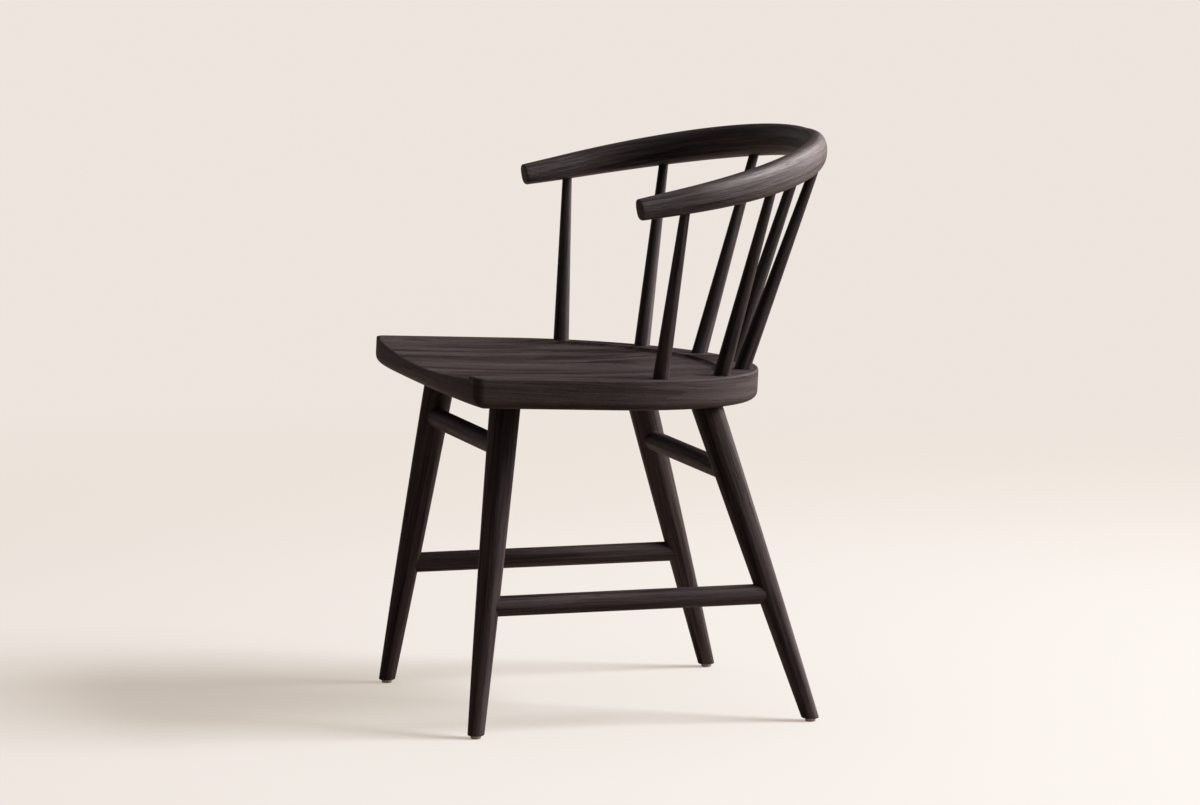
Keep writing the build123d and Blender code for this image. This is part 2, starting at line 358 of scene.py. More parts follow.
seatWood = stainedWood(
    "seatWood", boardWidth=0.118, streakSize=(0.014, 0.006, 0.24), bandSize=(0.045, 0.02, 0.5),
    lightest=(0.0500, 0.0370, 0.0370, 1), specular=(0.03, 0.28), shineTone=(0.52, 0.72),
    roughness=(0.54, 0.78),
)
# hands have worn the bow smoother than the rest
bowWood = stainedWood(
    "bowWood", pith=(0.03, -0.12), streakSize=(0.0015, 0.0015, 0.075), bandSize=(0.0042, 0.0042, 0.16),
    roughness=(0.41, 0.60), specular=(0.24, 0.68),
)
rodGrain = {"pith": (0.02, -0.045), "streakSize": (0.0034, 0.0034, 0.12), "bandSize": (0.008, 0.008, 0.3)}
rodWood = stainedWood("rodWood", **rodGrain)
# the thin spindles took more stain and lacquer
spindleWood = stainedWood(
    "spindleWood", **rodGrain, middle=(0.0150, 0.0106, 0.0105, 1), lightest=(0.0350, 0.0260, 0.0262, 1),
    specular=(0.10, 0.45), roughness=(0.44, 0.68),
)
print("wood finishes made")


# seat board, in its own sloping plane

seat = {
    "halfWidth": 0.2445,
    "sideLength": 0.186,
    "backDepth": 0.254,
    "frontBulge": 0.005,
    "cornerRadius": 0.014,
    "cornerCrease": math.radians(27),
    "cornerDraw": 0.004,
    "drawPower": 8,
    "thickness": 0.039,
    "height": 0.4485,
    "slope": math.radians(2.86),
    "topRound": 0.0028,
    "bottomRound": 0.0095,
    "frontBottomRound": 0.017,
    "rimSide": 0.023,
    "rimBack": 0.0525,
    "hollowDepth": 0.0145,
    "hollowSideDepth": 0.0042,
    "hollowBackDepth": 0.004,
    "hollowDeepestY": -0.076,
    "coveRadius": 0.005,
    "backCoveRadius": 0.013,
    "sideSteps": 60,
    "backSteps": 150,
    "floorRows": 34,
    "coveRows": 32,
    "rimRows": 6,
    "cornerRows": 14,
    "edgeRings": {"top": 6, "wall": 12, "bottom": 12},
    "edgeGrain": (5.0, 0.2),
    "edgeFineness": (3.2, 2.2),
    "edgeLean": 0.10,
    "undersideInset": 0.0012,
}

# the bow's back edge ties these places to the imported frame
bow = {
    "halfWidth": 0.25925,
    "endY": 0.0245,
    "arcY": 0.0895,
    "backY": 0.3275,
    "endHeight": 0.662,
    "backHeight": 0.7185,
    "lateRise": 0.2,
    "endDepth": 0.0268,
    "quarterDepth": 0.0418,
    "backDepth": 0.0376,
    "endThickness": 0.0278,
    "backThickness": 0.0295,
    "endSquareness": 2.6,
    "backSquareness": 2.05,
    "endRound": 0.0022,
    "armPoints": 12,
    "arcPoints": 160,
    "stations": 220,
    "sides": 64,
    "grainStart": (0.4, 0.2, 3.0),
}
shiftY = bow["backY"] + bow["backThickness"] / 2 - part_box("arm_bow")[1].y
slopeSin, slopeCos = math.sin(seat["slope"]), math.cos(seat["slope"])
seatNormal = Vector((0, slopeSin, slopeCos))


def onSeat(x, y, lift):
    # a point of the seat's own plane, in the chair's frame
    return Vector((
        x,
        y * slopeCos + lift * slopeSin - shiftY,
        seat["height"] - y * slopeSin + lift * slopeCos,
    ))


def hollowLift(x, y):
    halfWidth = seat["halfWidth"] - seat["rimSide"]
    backReach = seat["backDepth"] - seat["rimBack"]
    # the floor rises from its deepest place to the sides, to the back and a little to the front
    across = (seat["hollowDepth"] - seat["hollowSideDepth"]) * (x / halfWidth) ** 2
    wayBack = (y - seat["hollowDeepestY"]) / (backReach - seat["hollowDeepestY"])
    lengthways = (seat["hollowDepth"] - seat["hollowBackDepth"]) * wayBack**2
    floorLift = across + lengthways - seat["hollowDepth"]
    if y <= 0:
        fromWall = halfWidth - abs(x)
    else:
        share = math.hypot(x / halfWidth, y / backReach)
        pull = math.hypot(x / halfWidth**2, y / backReach**2)
        fromWall = (1 - share) * share / pull if pull else halfWidth
    if fromWall <= 0:
        return 0.0
    # the wall is crisp along the sides and softer round the back
    softer = (seat["backCoveRadius"] - seat["coveRadius"]) * max(y, 0.0) / backReach
    radius = seat["coveRadius"] + softer
    gap = max(radius - fromWall, 0.0)
    cove = radius - math.sqrt(radius**2 - gap**2)
    return min(floorLift + cove, 0.0)


def frontLine(x):
    # the front edge's y, with its slight bulge, drawn back towards the corners
    share = abs(x) / seat["halfWidth"]
    bulge = seat["frontBulge"] * (1 - share**2)
    return seat["cornerDraw"] * share ** seat["drawPower"] - seat["sideLength"] - bulge


def frontEdge(x, inset):
    # the same line with its rounded corners, which meet it at a slight crease
    radius = seat["cornerRadius"] - inset
    beyond = max(abs(x) - seat["halfWidth"] + seat["cornerRadius"], 0.0)
    reach = math.sqrt(max(radius**2 - beyond**2, 0.0))
    return frontLine(x) + inset + max(radius * math.cos(seat["cornerCrease"]) - reach, 0.0)


def frontRound(x, lift):
    # how far forward the board reaches at one height, and less so on the larger round under its front
    radius = seat["frontBottomRound"]
    below = max(radius - seat["thickness"] - lift, 0.0)
    return frontLine(x) + radius - math.sqrt(radius**2 - below**2)


def seatLevels():
    # half widths of the rows from the middle line out, closer by the hollow's wall and round the corner
    rim = seat["halfWidth"] - seat["rimSide"]
    corner = seat["halfWidth"] - seat["cornerRadius"]
    reach = seat["cornerRadius"] - seat["topRound"]
    coveReach = seat["backCoveRadius"]
    floorRows, coveRows, rimRows = seat["floorRows"], seat["coveRows"], seat["rimRows"]
    cornerRows = seat["cornerRows"]
    floor = [(rim - coveReach) * number / floorRows for number in range(floorRows)]
    cove = [rim - coveReach * (1 - number / coveRows) for number in range(coveRows)]
    flat = [rim + (corner - rim) * number / rimRows for number in range(rimRows)]
    turns = [math.pi / 2 * number / cornerRows for number in range(cornerRows + 1)]
    return floor + cove + flat + [corner + reach * math.sin(turn) for turn in turns]


def seatTop():
    # rows of points, each a U along one side, round the back and along the other side
    inset = seat["topRound"]
    edge = seat["halfWidth"] - inset
    rim = seat["halfWidth"] - seat["rimSide"]
    rows = []
    for halfWidth in seatLevels():
        if halfWidth <= rim:
            depth = (seat["backDepth"] - seat["rimBack"]) * halfWidth / rim
        else:
            outward = (halfWidth - rim) / (edge - rim)
            depth = seat["backDepth"] - seat["rimBack"] + outward * (seat["rimBack"] - inset)
        front = frontEdge(halfWidth, inset)
        row = []
        for number in range(seat["sideSteps"]):
            row.append((halfWidth, front * (1 - number / seat["sideSteps"])))
        for number in range(seat["backSteps"] + 1):
            turn = math.pi * number / seat["backSteps"]
            row.append((halfWidth * math.cos(turn), depth * math.sin(turn)))
        for number in range(1, seat["sideSteps"] + 1):
            row.append((-halfWidth, front * number / seat["sideSteps"]))
        rows.append(row)
    return rows


def outwardNormals(loop):
    normals = []
    count = len(loop)
    for number in range(count):
        before, after = loop[number - 1], loop[(number + 1) % count]
        run = Vector((after[0] - before[0], after[1] - before[1]))
        normals.append(Vector((run.y, -run.x)).normalized())
    return normals


def edgeLengths(loop):
    # how far each point lies along the board's edge from the middle of its front, either way round
    runs = [0.0]
    for before, after in zip(loop, loop[1:]):
        runs.append(runs[-1] + math.dist(before, after))
    whole = runs[-1] + math.dist(loop[-1], loop[0])
    middle = min(range(len(loop)), key=lambda number: (loop[number][1] > 0, abs(loop[number][0])))
    away = [abs(run - runs[middle]) for run in runs]
    return [min(length, whole - length) for length in away]


def edgeSteps():
    # the edge's parts from the top down, each with its shares of the way
    for part, count in seat["edgeRings"].items():
        for number in range(1, count + 1):
            yield part, number / count


def edgePlace(part, share, lift):
    # how far out and how high a point of the edge lies
    topRound, lowRound, thickness = seat["topRound"], seat["bottomRound"], seat["thickness"]
    turn = math.pi / 2 * share
    if part == "top":
        return topRound * math.sin(turn), lift - topRound * (1 - math.cos(turn))
    if part == "wall":
        return topRound, (lift - topRound) * (1 - share) + (lowRound - thickness) * share
    return topRound - lowRound * (1 - math.cos(turn)), lowRound - thickness - lowRound * math.sin(turn)


def edgeGrain(lift, length):
    # finer than the top's grain, along the edge and leaning a little to it
    across, along = seat["edgeFineness"]
    startX, startY = seat["edgeGrain"]
    leaning = across * lift + seat["edgeLean"] * length
    return startX, startY + leaning, along * length


def makeSeat():
    rows = seatTop()
    build = bmesh.new()
    grainLayer = build.verts.layers.float_vector.new("grain")
    wornLayer = build.verts.layers.float.new("worn")
    sandedLayer = build.verts.layers.float.new("sanded")

    def addPoint(x, y, lift, grain=None, worn=0.0):
        vertex = build.verts.new(onSeat(x, max(y, frontRound(x, lift)), lift))
        vertex[grainLayer] = grain or (x, lift, y)
        vertex[wornLayer] = worn
        vertex[sandedLayer] = 1.0 if grain else 0.0
        return vertex

    def addBand(upper, lower):
        for number in range(len(upper)):
            after = (number + 1) % len(upper)
            build.faces.new((upper[number], lower[number], lower[after], upper[after]))

    grid = [[addPoint(x, y, hollowLift(x, y)) for x, y in row] for row in rows]
    for inner, outer in zip(grid, grid[1:]):
        for number in range(len(inner) - 1):
            build.faces.new((inner[number], outer[number], outer[number + 1], inner[number + 1]))
    # the board's edge: from the outer U, and back along the front
    ring = grid[-1] + [row[-1] for row in reversed(grid[:-1])] + [row[0] for row in grid[1:-1]]
    flat = rows[-1] + [row[-1] for row in reversed(rows[:-1])] + [row[0] for row in rows[1:-1]]
    normals = outwardNormals(flat)
    lengths = edgeLengths(flat)
    for part, share in edgeSteps():
        following = []
        worn = 1.0 if part == "top" and share < 1 else 0.0
        for (x, y), normal, length in zip(flat, normals, lengths):
            outward, lift = edgePlace(part, share, hollowLift(x, y))
            grain = edgeGrain(lift, length)
            following.append(addPoint(x + normal.x * outward, y + normal.y * outward, lift, grain, worn))
        addBand(ring, following)
        ring = following
    # the underside's grain runs from front to back, as the top's does
    outward = seat["topRound"] - seat["bottomRound"] - seat["undersideInset"]
    underside = []
    for (x, y), normal in zip(flat, normals):
        front = frontRound(x, -seat["thickness"]) + seat["undersideInset"]
        lower = max(y + normal.y * outward, front)
        underside.append(addPoint(x + normal.x * outward, lower, -seat["thickness"]))
    addBand(ring, underside)
    build.faces.new(list(reversed(underside)))
    bmesh.ops.remove_doubles(build, verts=build.verts, dist=mergeGap)
    bmesh.ops.recalc_face_normals(build, faces=build.faces)
    for face in build.faces:
        face.smooth = True
    mesh = bpy.data.meshes.new("seatBoard")
    build.to_mesh(mesh)
    build.free()
    mesh.materials.append(seatWood)
    piece = bpy.data.objects.new("seatBoard", mesh)
    scene.collection.objects.link(piece)
    return piece


settle(makeSeat(), woodSlot, "seat")


# arm bow: a rounded section swept along one bent line

def bowHeight(y):
    wayBack = (y - bow["endY"]) / (bow["backY"] - bow["endY"])
    rise = (1 - bow["lateRise"]) * wayBack + bow["lateRise"] * wayBack**2
    return bow["endHeight"] + (bow["backHeight"] - bow["endHeight"]) * rise


def bowPath():
    # the straight arms, and half an ellipse round the back
    arcDepth = bow["backY"] - bow["arcY"]
    armRun = bow["arcY"] - bow["endY"]
    arc = []
    for number in range(bow["arcPoints"] + 1):
        turn = math.pi * number / bow["arcPoints"]
        arc.append((bow["halfWidth"] * math.cos(turn), bow["arcY"] + arcDepth * math.sin(turn)))
    left = []
    for number in range(bow["armPoints"]):
        left.append((bow["halfWidth"], bow["endY"] + armRun * number / bow["armPoints"]))
    right = [(-x, y) for x, y in reversed(left)]
    curve = bpy.data.curves.new("bowLine", "CURVE")
    curve.dimensions = "3D"
    spline = curve.splines.new("POLY")
    route = left + arc + right
    spline.points.add(len(route) - 1)
    for point, (x, y) in zip(spline.points, route):
        point.co = (x, y - shiftY, bowHeight(y), 1)
    line = bpy.data.objects.new("bowLine", curve)
    scene.collection.objects.link(line)
    return line


def threePoint(tree, share, first, second, third):
    # the curve through three values, at shares 0, a half and 1
    away = calc(tree, "SUBTRACT", share, 1)
    lean = calc(tree, "MULTIPLY_ADD", share, 2, -1)
    firstPart = calc(tree, "MULTIPLY", calc(tree, "MULTIPLY", lean, away), first)
    bulge = calc(tree, "MULTIPLY", calc(tree, "MULTIPLY", share, away), -4)
    secondPart = calc(tree, "MULTIPLY", bulge, second)
    thirdPart = calc(tree, "MULTIPLY", calc(tree, "MULTIPLY", share, lean), third)
    return calc(tree, "ADD", calc(tree, "ADD", firstPart, secondPart), thirdPart)


def gridOf(tree, rings, sideCount):
    # a square sheet to be wrapped: ring number along, turn around
    sheet = addNode(tree, "GeometryNodeMeshGrid")
    feed(tree, sheet.inputs["Size X"], 1)
    feed(tree, sheet.inputs["Size Y"], 1)
    feed(tree, sheet.inputs["Vertices X"], rings)
    feed(tree, sheet.inputs["Vertices Y"], calc(tree, "ADD", sideCount, 1))
    spot = parted(tree, addNode(tree, "GeometryNodeInputPosition").outputs[0])
    lastRing = calc(tree, "SUBTRACT", rings, 1)
    # the sheet lies half to each side of its middle
    ring = calc(tree, "ROUND", calc(tree, "MULTIPLY", calc(tree, "ADD", spot[0], 0.5), lastRing))
    turn = calc(tree, "MULTIPLY", calc(tree, "ADD", spot[1], 0.5), math.tau)
    return sheet.outputs["Mesh"], ring, turn, lastRing


def marked(tree, geometry, name, kind, value):
    node = addNode(tree, "GeometryNodeStoreNamedAttribute", data_type=kind, domain="POINT")
    feed(tree, node.inputs["Geometry"], geometry)
    node.inputs["Name"].default_value = name
    feed(tree, node.inputs["Value"], value)
    return node.outputs["Geometry"]


def wrapped(tree, sheet, grain, cutEnd, place, material):
    # keeps the grain's spot and the cut ends, moves the sheet into place and closes its seam and poles
    sheet = marked(tree, sheet, "grain", "FLOAT_VECTOR", grain)
    sheet = marked(tree, sheet, "cutEnd", "FLOAT", cutEnd)
    moved = addNode(tree, "GeometryNodeSetPosition")
    feed(tree, moved.inputs["Geometry"], sheet)
    feed(tree, moved.inputs["Position"], place)
    closed = addNode(tree, "GeometryNodeMergeByDistance")
    feed(tree, closed.inputs["Geometry"], moved.outputs["Geometry"])
    closed.inputs["Distance"].default_value = mergeGap
    endTree(tree, closed.outputs["Geometry"], material)


endSteps = 6  # rings in an eased end


def easedEnd(tree, ringsIn, radius):
    # how far an eased end has risen and is still drawn in, some rings from its pole
    share = calc(tree, "DIVIDE", calc(tree, "SUBTRACT", ringsIn, 1), endSteps, clamp=True)
    quarter = calc(tree, "MULTIPLY", share, math.pi / 2)
    rise = calc(tree, "MULTIPLY", calc(tree, "SUBTRACT", 1, calc(tree, "COSINE", quarter)), radius)
    drawnIn = calc(tree, "MULTIPLY", calc(tree, "SUBTRACT", 1, calc(tree, "SINE", quarter)), radius)
    return rise, drawnIn


def unlessPole(tree, ring, ringsLeft):
    # 0 on the first and the last ring, which close to a point, and 1 on the others
    return calc(tree, "MINIMUM", calc(tree, "MINIMUM", ring, ringsLeft), 1)


def bowTree():
    tree, given = newTree("bentBow", {
        "Line": "Object", "Stations": "Int", "Sides": "Int",
        "End Depth": "Float", "Quarter Depth": "Float", "Back Depth": "Float",
        "End Thickness": "Float", "Back Thickness": "Float",
        "End Squareness": "Float", "Back Squareness": "Float", "End Round": "Float",
        "Grain Start": "Vector", "Finish": "Material",
    })
    sheet, ring, turn, lastRing = gridOf(tree, given["Stations"], given["Sides"])
    line = addNode(tree, "GeometryNodeObjectInfo", transform_space="ORIGINAL")
    feed(tree, line.inputs["Object"], given["Line"])
    length = addNode(tree, "GeometryNodeCurveLength")
    feed(tree, length.inputs["Curve"], line.outputs["Geometry"])
    length = length.outputs["Length"]
    ringsLeft = calc(tree, "SUBTRACT", lastRing, ring)
    startRise, startIn = easedEnd(tree, ring, given["End Round"])
    endRise, endIn = easedEnd(tree, ringsLeft, given["End Round"])
    bodyRings = calc(tree, "SUBTRACT", lastRing, 2 * endSteps + 2)
    bodyShare = calc(tree, "DIVIDE", calc(tree, "SUBTRACT", ring, endSteps + 1), bodyRings, clamp=True)
    bodyLength = calc(tree, "MULTIPLY_ADD", given["End Round"], -2, length)
    along = calc(tree, "MULTIPLY_ADD", bodyShare, bodyLength, startRise)
    along = calc(tree, "ADD", along, calc(tree, "SUBTRACT", given["End Round"], endRise))
    share = calc(tree, "DIVIDE", along, length)
    sample = addNode(tree, "GeometryNodeSampleCurve", mode="FACTOR")
    feed(tree, sample.inputs["Curves"], line.outputs["Geometry"])
    feed(tree, sample.inputs["Factor"], share)
    run = sample.outputs["Tangent"]
    level = vectorCalc(tree, "NORMALIZE", vectorCalc(tree, "CROSS_PRODUCT", run, skyward))
    upward = vectorCalc(tree, "CROSS_PRODUCT", level, run)
    wayBack = calc(tree, "SUBTRACT", 1, calc(tree, "ABSOLUTE", calc(tree, "MULTIPLY_ADD", share, 2, -1)))
    depth = threePoint(tree, wayBack, given["End Depth"], given["Quarter Depth"], given["Back Depth"])
    growth = calc(tree, "SUBTRACT", given["Back Thickness"], given["End Thickness"])
    thickness = calc(tree, "MULTIPLY_ADD", growth, wayBack, given["End Thickness"])
    rounding = calc(tree, "SUBTRACT", given["Back Squareness"], given["End Squareness"])
    power = calc(tree, "DIVIDE", 2, calc(tree, "MULTIPLY_ADD", rounding, wayBack, given["End Squareness"]))
    drawnIn = calc(tree, "ADD", startIn, endIn)
    unclosed = unlessPole(tree, ring, ringsLeft)
    reaches = []
    for operation, size in (("COSINE", thickness), ("SINE", depth)):
        wave = calc(tree, operation, turn)
        bent = calc(tree, "POWER", calc(tree, "ABSOLUTE", wave), power)
        bent = calc(tree, "MULTIPLY", bent, calc(tree, "SIGN", wave))
        half = calc(tree, "SUBTRACT", calc(tree, "MULTIPLY", size, 0.5), drawnIn)
        reaches.append(calc(tree, "MULTIPLY", calc(tree, "MULTIPLY", bent, half), unclosed))
    place = vectorCalc(tree, "ADD", sample.outputs["Position"], scaled(tree, level, reaches[0]))
    place = vectorCalc(tree, "ADD", place, scaled(tree, upward, reaches[1]))
    grain = vectorCalc(tree, "ADD", joined(tree, reaches[0], reaches[1], along), given["Grain Start"])
    cutEnd = calc(tree, "DIVIDE", drawnIn, given["End Round"])
    wrapped(tree, sheet, grain, cutEnd, place, given["Finish"])
    return tree


def makeBow():
    line = bowPath()
    piece = runTree("armBow", bowTree(), {
        "Line": line, "Stations": bow["stations"], "Sides": bow["sides"],
        "End Depth": bow["endDepth"], "Quarter Depth": bow["quarterDepth"], "Back Depth": bow["backDepth"],
        "End Thickness": bow["endThickness"], "Back Thickness": bow["backThickness"],
        "End Squareness": bow["endSquareness"], "Back Squareness": bow["backSquareness"],
        "End Round": bow["endRound"], "Grain Start": bow["grainStart"], "Finish": bowWood,
    })
    bpy.data.objects.remove(line)
    return piece


settle(makeBow(), woodSlot, "arm_bow")


# turned rods: legs, glides, stretchers and spindles

rod = {
    "sides": 48,
    "plainRound": 0.0002,
    "grainStep": (0.31, 0.17, 0.83),
    "offAxis": (0.36, 0.48, 0.8),  # a direction in which no rod runs
}


def rodTree():
    tree, given = newTree("turnedRod", {
        "Start": "Vector", "End": "Vector", "Start Facing": "Vector", "End Facing": "Vector",
        "Start Radius": "Float", "Middle Radius": "Float", "End Radius": "Float", "Start Round": "Float",
        "Rings": "Int", "Sides": "Int", "Grain Start": "Vector", "Finish": "Material",
    })
    sheet, ring, turn, lastRing = gridOf(tree, given["Rings"], given["Sides"])
    run = vectorCalc(tree, "SUBTRACT", given["End"], given["Start"])
    length = vectorCalc(tree, "LENGTH", run)
    axis = vectorCalc(tree, "NORMALIZE", run)
    sideways = vectorCalc(tree, "NORMALIZE", vectorCalc(tree, "CROSS_PRODUCT", axis, rod["offAxis"]))
    across = vectorCalc(tree, "CROSS_PRODUCT", sideways, axis)
    rise, drawnIn = easedEnd(tree, ring, given["Start Round"])
    bodyRings = calc(tree, "SUBTRACT", lastRing, endSteps + 2)
    bodyShare = calc(tree, "DIVIDE", calc(tree, "SUBTRACT", ring, endSteps + 1), bodyRings, clamp=True)
    bodyLength = calc(tree, "SUBTRACT", length, given["Start Round"])
    along = calc(tree, "MULTIPLY_ADD", bodyShare, bodyLength, rise)
    share = calc(tree, "DIVIDE", along, length)
    radius = threePoint(tree, share, given["Start Radius"], given["Middle Radius"], given["End Radius"])
    unclosed = unlessPole(tree, ring, calc(tree, "SUBTRACT", lastRing, ring))
    radius = calc(tree, "MULTIPLY", calc(tree, "SUBTRACT", radius, drawnIn), unclosed)
    reachX = calc(tree, "MULTIPLY", calc(tree, "COSINE", turn), radius)
    reachY = calc(tree, "MULTIPLY", calc(tree, "SINE", turn), radius)
    outward = vectorCalc(tree, "ADD", scaled(tree, sideways, reachX), scaled(tree, across, reachY))
    # each end is cut along its own plane
    slips = []
    for facing in (given["Start Facing"], given["End Facing"]):
        lean = vectorCalc(tree, "DOT_PRODUCT", outward, facing)
        steep = vectorCalc(tree, "DOT_PRODUCT", axis, facing)
        slips.append(calc(tree, "DIVIDE", lean, steep))
    startSlip = calc(tree, "MULTIPLY", slips[0], calc(tree, "SUBTRACT", share, 1))
    endSlip = calc(tree, "MULTIPLY", slips[1], share)
    lengthways = calc(tree, "SUBTRACT", calc(tree, "ADD", along, startSlip), endSlip)
    place = vectorCalc(tree, "ADD", given["Start"], outward)
    place = vectorCalc(tree, "ADD", place, scaled(tree, axis, lengthways))
    grain = vectorCalc(tree, "ADD", joined(tree, reachX, reachY, lengthways), given["Grain Start"])
    cutEnd = calc(tree, "DIVIDE", drawnIn, given["Start Round"])
    wrapped(tree, sheet, grain, cutEnd, place, given["Finish"])
    return tree


turnedRod = rodTree()


def makeRod(node, start, end, radii, rings, startFacing=None, endFacing=None,
            startRound=rod["plainRound"], finish=rodWood, slot=woodSlot):
    # one turned piece in place of one node of the frame, with grain of its own
    axis = (end - start).normalized()
    number = 1 + list(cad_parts).index(node)
    first, *others = node.split("_")
    piece = runTree(first + "".join(other.title() for other in others), turnedRod, {
        "Start": start, "End": end,
        "Start Facing": startFacing or axis, "End Facing": endFacing or axis,
        "Start Radius": radii[0], "Middle Radius": radii[1], "End Radius": radii[2],
        "Start Round": startRound, "Rings": rings, "Sides": rod["sides"],
        "Grain Start": Vector(rod["grainStep"]) * number, "Finish": finish,
    })
    settle(piece, slot, node)


leg = {
    "topX": 0.1525,
    "topY": {"front": -0.118, "rear": 0.146},
    "footX": 0.2185,
    "footY": {"front": -0.1765, "rear": 0.2665},
    "radii": (0.0106, 0.0160, 0.01975),
    "footRound": 0.0018,
    "intoSeat": 0.003,
    "rings": 110,
}
glide = {
    "height": 0.004,
    "radius": 0.00675,
    "lowRound": 0.0014,
    "intoLeg": 0.0006,
    "rings": 20,
    "pale": (0.46, 0.42, 0.38, 1),
    # the colour of the painted contact shade at the glide's bottom
    "worn": (0.24, 0.21, 0.185, 1),
    "mottleSize": (0.0016, 0.0016, 0.0016),
    "mottleNoise": (3, 0.6),
    # how high the painted contact shade reaches above the floor, and how strong it is there
    "rubbedHeights": (0.0003, 0.0022),
    "rubbedShare": (1.0, 0.15),
    "wearEdges": (0.3, 0.65),
    "wearShare": (0.35, 1.0),
    "roughEdges": (0.3, 0.7),
    "roughness": (0.5, 0.7),
    "bump": 0.15,
    "reliefHeight": 0.0002,
}


def underSeat(y):
    return seat["height"] - y * math.tan(seat["slope"]) - seat["thickness"] / slopeCos


def legLine(end, side):
    topY = leg["topY"][end]
    foot = Vector((sides[side] * leg["footX"], leg["footY"][end] - shiftY, 0))
    top = Vector((sides[side] * leg["topX"], topY - shiftY, underSeat(topY)))
    return foot, top


def legAt(end, side, height):
    foot, top = legLine(end, side)
    return foot + (top - foot) * (height / top.z)


def makeLegs():
    for end in ("front", "rear"):
        for side in sides:
            foot, top = legLine(end, side)
            axis = (top - foot).normalized()
            makeRod(
                f"leg_{end}_{side}",
                legAt(end, side, glide["height"]),
                top + axis * leg["intoSeat"],
                leg["radii"],
                leg["rings"],
                startFacing=skyward,
                endFacing=seatNormal,
                startRound=leg["footRound"],
            )


makeLegs()


# glides: pale plastic pads under the feet, their bottoms darkened by painted contact shade in mottled
# patches

def glideFinish():
    material = bpy.data.materials.new("glidePlastic")
    material.use_nodes = True
    tree = material.node_tree
    shader = tree.nodes["Principled BSDF"]
    spot = addNode(tree, "ShaderNodeTexCoord").outputs["Object"]
    mottle = stretchedNoise(tree, spot, glide["mottleSize"], *glide["mottleNoise"])
    height = parted(tree, spot)[2]
    # painted contact shade: darker towards the floor, broken into mottled patches
    contactShade = remap(tree, height, *glide["rubbedHeights"], *glide["rubbedShare"])
    shadePatches = remap(tree, mottle, *glide["wearEdges"], *glide["wearShare"])
    paintedShade = calc(tree, "MULTIPLY", contactShade, shadePatches)
    feed(tree, shader.inputs["Base Color"], mixColor(tree, paintedShade, glide["pale"], glide["worn"]))
    dull = remap(tree, mottle, *glide["roughEdges"], *glide["roughness"])
    feed(tree, shader.inputs["Roughness"], dull)
    addBump(tree, shader, mottle, glide["bump"], glide["reliefHeight"])
    return material


def makeGlides():
    finish = glideFinish()
    radius = glide["radius"]
    for end in ("front", "rear"):
        for side in sides:
            middle = legAt(end, side, glide["height"])
            makeRod(
                f"glide_{end}_{side}",
                Vector((middle.x, middle.y, 0)),
                middle + skyward * glide["intoLeg"],
                (radius, radius, radius),
                glide["rings"],
                startRound=glide["lowRound"],
                finish=finish,
                slot=glideSlot,
            )


makeGlides()


stretcher = {
    "radius": 0.013,
    "rings": 90,
    "height": {"left": 0.162, "right": 0.162, "front": 0.358, "rear": 0.3165},
    "ends": {
        "left": (("front", "left"), ("rear", "left")),
        "right": (("front", "right"), ("rear", "right")),
        "front": (("front", "right"), ("front", "left")),
        "rear": (("rear", "right"), ("rear", "left")),
    },
}


def makeStretchers():
    radius = stretcher["radius"]
    for name, (first, second) in stretcher["ends"].items():
        height = stretcher["height"][name]
        makeRod(
            "stretcher_" + name,
            legAt(*first, height),
            legAt(*second, height),
            (radius, radius, radius),
            stretcher["rings"],
        )


makeStretchers()

spindle = {
    "places": {
        "front": {"angle": 15.6, "inset": 0.0145},
        "middle": {"angle": 42.0, "inset": 0.0145},
        "rear": {"angle": 66.2, "inset": 0.020},
        "centre": {"angle": 90.0, "inset": 0.0235},
    },
    "radii": (0.0103, 0.0082, 0.0061),
    "intoSeat": 0.004,
    "intoBow": 0.008,
    "topBand": 0.004,
    "rings": 80,
}


def seatSpot(angle, inset):
    turn = math.radians(angle)
    edge = Vector((seat["halfWidth"] * math.cos(turn), seat["backDepth"] * math.sin(turn)))
    outward = Vector((math.cos(turn) / seat["halfWidth"], math.sin(turn) / seat["backDepth"])).normalized()
    spot = edge - outward * inset
    return Vector((spot.x, spot.y - shiftY, seat["height"] - spot.y * math.tan(seat["slope"])))


def topOf(node):
    # the middle of a spindle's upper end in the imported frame
    corners = [vertex.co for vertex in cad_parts[node].data.vertices]
    lowest = max(corner.z for corner in corners) - spindle["topBand"]
    upper = [corner for corner in corners if corner.z > lowest]
    return sum(upper, Vector()) / len(upper)


def makeSpindles():
    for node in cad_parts:
        if not node.startswith("spindle_"):
            continue
        row, *side = node.split("_")[1:]
        foot = seatSpot(**spindle["places"][row])
        foot.x *= sides[side[0]] if side else 1
        top = topOf(node)
        axis = (top - foot).normalized()
        makeRod(
            node,
            foot - axis * spindle["intoSeat"],
            top - axis * spindle["intoBow"],
            spindle["radii"],
            spindle["rings"],
            startFacing=seatNormal,
            finish=spindleWood,
        )


makeSpindles()


# floor, world and lamps

stage = {
    "floor": (0.81, 0.862, 0.927, 1),
    "bounce": (0.68, 0.55, 0.47, 1),
    "shade": (0.09, 0.075, 0.068, 1),
    "bounceReach": (2.8, 6.0),
    "shadeStart": (-0.3, 1.2),
    "glow": (0.853, 0.73, 0.58, 1),
    "backdrop": (0.845, 0.785, 0.725, 1),
    "floorReach": 60.0,
    "floorSides": 96,
    "litShare": 0.5,
    "fade": (1.0, 3.2),
}


